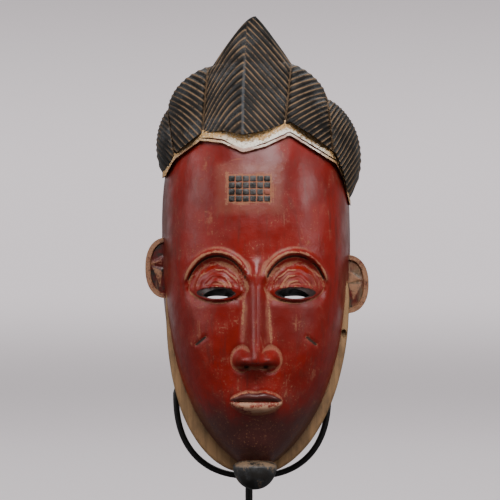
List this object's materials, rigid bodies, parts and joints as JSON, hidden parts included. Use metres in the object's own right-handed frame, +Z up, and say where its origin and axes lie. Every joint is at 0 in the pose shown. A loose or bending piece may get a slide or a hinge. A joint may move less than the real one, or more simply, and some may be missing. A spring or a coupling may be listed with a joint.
{
  "type": "carved face mask on a display stand",
  "caption": "Carved wooden face mask with a lobed, fluted coiffure and a beard knob, open at the back, held upright by a bent rod cradle and a post on a flat foot.",
  "frame": {"origin": "middle of the foot plate's underside", "axes": "+Z up from the foot to the crest of the coiffure; the face looks along -Y; +X is to the right of someone who faces the mask"},
  "size_m": [0.1785, 0.1343, 0.4835],
  "materials": {
    "painted_wood": "worn gloss paint over carved wood",
    "black_steel": "satin black"
  },
  "bodies": {
    "root": {"mask": "painted_wood", "cradle": "black_steel", "post": "black_steel", "foot_plate": "black_steel"}
  },
  "joints": []
}
